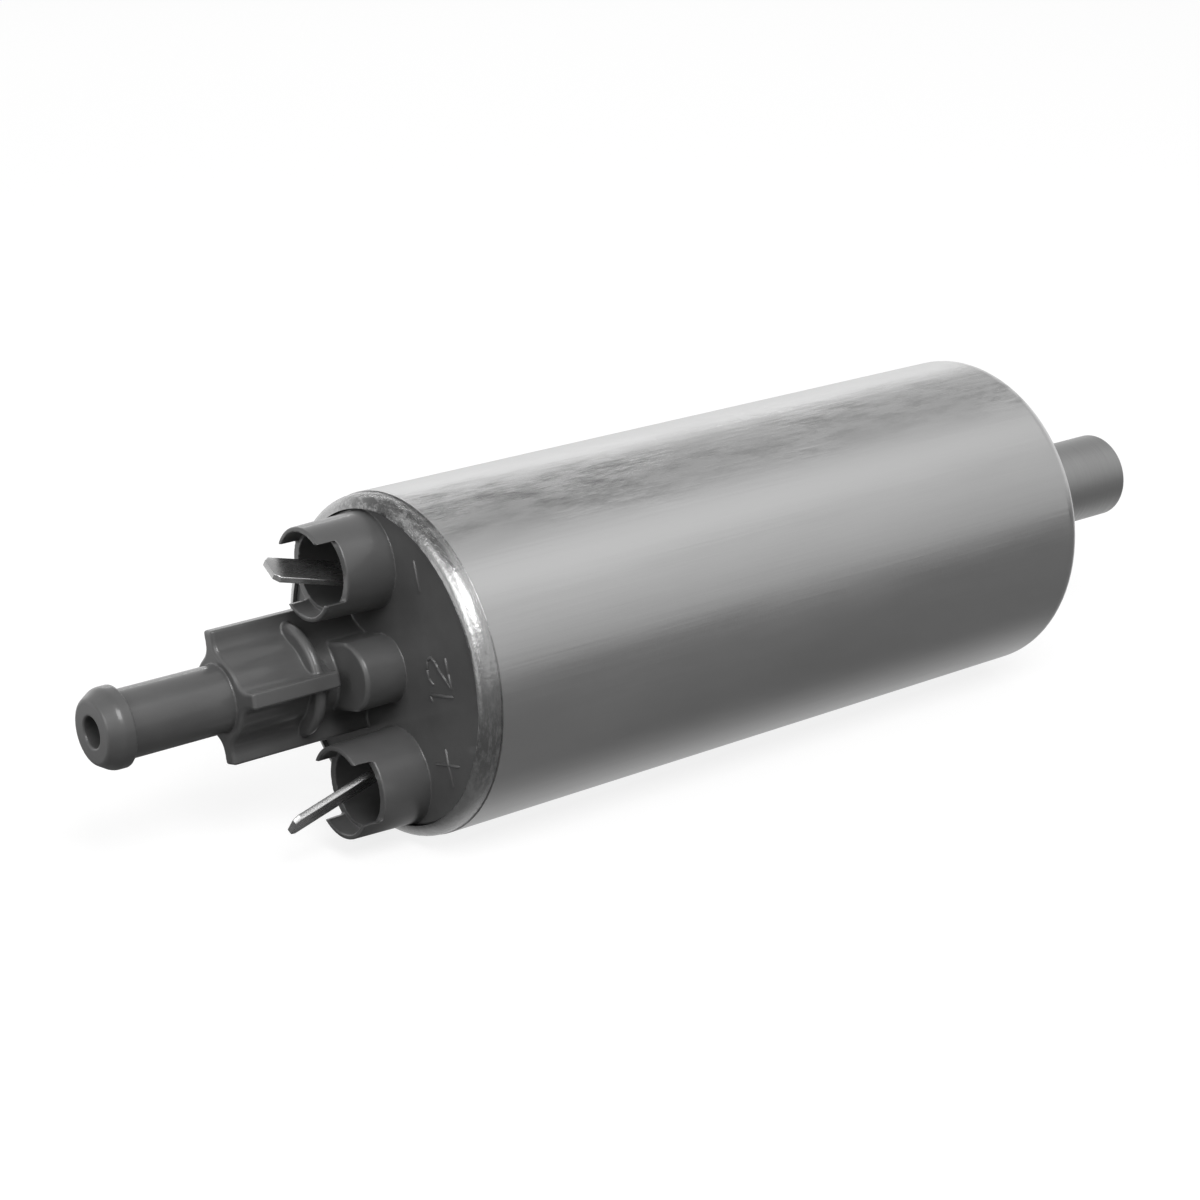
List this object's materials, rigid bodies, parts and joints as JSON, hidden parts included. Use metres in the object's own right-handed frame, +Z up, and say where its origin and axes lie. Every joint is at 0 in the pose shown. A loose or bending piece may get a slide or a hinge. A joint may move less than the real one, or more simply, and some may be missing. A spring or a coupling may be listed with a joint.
{
  "type": "fuel pump",
  "caption": "Cylindrical inline electric fuel pump: metal barrel, dark plastic end cover with beaded, ribbed outlet fitting and two shrouded blade terminals, plain inlet tube opposite.",
  "frame": {"origin": "on the barrel's axis, halfway along the barrel", "axes": "+X along the barrel's axis from the outlet fitting to the inlet tube, +Z up as the pump lies in the picture"},
  "size_m": [0.1634, 0.043, 0.043],
  "materials": {
    "barrel": "satin plated",
    "cover_plastic": "satin moulded",
    "terminal": "tinned",
    "seal_rubber": "matt",
    "inlet_alloy": "satin",
    "steel": "ground",
    "port_alloy": "machined",
    "ring_iron": "ground",
    "lamination": "varnished",
    "copper": "copper",
    "bronze": "sintered",
    "brass": "plain",
    "hub_resin": "moulded",
    "pale_plastic": "moulded",
    "ferrite": "matt",
    "carbon": "pressed carbon",
    "holder_plastic": "moulded"
  },
  "bodies": {
    "pump_body": {"housing_shell": "barrel", "outlet_cover": "cover_plastic", "terminal_negative": "terminal", "terminal_positive": "terminal", "cover_seal": "seal_rubber", "inlet_cover": "inlet_alloy", "inlet_seal": "seal_rubber", "inlet_screen": "steel", "pump_inlet_plate": "port_alloy", "pump_ring": "ring_iron", "pump_outlet_plate": "port_alloy", "pump_screws": "steel", "relief_spring": "steel", "relief_plug": "brass", "rear_bearing": "bronze", "magnet_upper": "ferrite", "magnet_lower": "ferrite", "magnet_clip_near": "steel", "magnet_clip_far": "steel", "brush_holder": "holder_plastic", "front_bearing": "bronze", "brush_guide_upper": "brass", "brush_guide_lower": "brass", "brush_spring_upper": "steel", "brush_spring_lower": "steel", "check_valve_seat": "brass", "check_valve_spring": "steel"},
    "armature": {"motor_shaft": "steel", "armature_core": "lamination", "armature_windings": "copper", "commutator_hub": "hub_resin", "commutator_bars": "copper", "thrust_washer_front": "pale_plastic", "thrust_washer_rear": "pale_plastic", "drive_coupling": "pale_plastic", "inner_rotor": "steel"},
    "outer_rotor_body": {"outer_rotor": "steel"},
    "check_valve_body": {"check_valve_poppet": "pale_plastic"},
    "relief_valve_body": {"relief_ball": "steel"},
    "brush_upper_body": {"brush_upper": "carbon"},
    "brush_lower_body": {"brush_lower": "carbon"}
  },
  "joints": [
    {"name": "armature_spin", "type": "hinge", "parent": "pump_body", "child": "armature", "pos_m": [0, 0, 0], "axis": [1, 0, 0], "continuous": true},
    {"name": "outer_rotor_spin", "type": "hinge", "parent": "pump_body", "child": "outer_rotor_body", "pos_m": [0, 0, 0.0013], "axis": [1, 0, 0], "continuous": true},
    {"name": "check_valve_lift", "type": "slide", "parent": "pump_body", "child": "check_valve_body", "axis": [-1, 0, 0], "range_m": [0, 0.002], "stiffness_N_per_m": 150, "springref_m": -0.003, "deforming": ["check_valve_spring"]},
    {"name": "relief_valve_lift", "type": "slide", "parent": "pump_body", "child": "relief_valve_body", "axis": [1, 0, 0], "range_m": [0, 0.0012], "stiffness_N_per_m": 600, "springref_m": -0.003, "deforming": ["relief_spring"]},
    {"name": "brush_upper_slide", "type": "slide", "parent": "pump_body", "child": "brush_upper_body", "axis": [0, 0.2419, 0.9703], "range_m": [0, 0.0025], "stiffness_N_per_m": 120, "springref_m": -0.004, "deforming": ["brush_spring_upper"]},
    {"name": "brush_lower_slide", "type": "slide", "parent": "pump_body", "child": "brush_lower_body", "axis": [0, -0.2419, -0.9703], "range_m": [0, 0.0025], "stiffness_N_per_m": 120, "springref_m": -0.004, "deforming": ["brush_spring_lower"]}
  ],
  "couplings": [
    {"joint": "outer_rotor_spin", "follows": "armature_spin", "ratio": 0.85714}
  ]
}
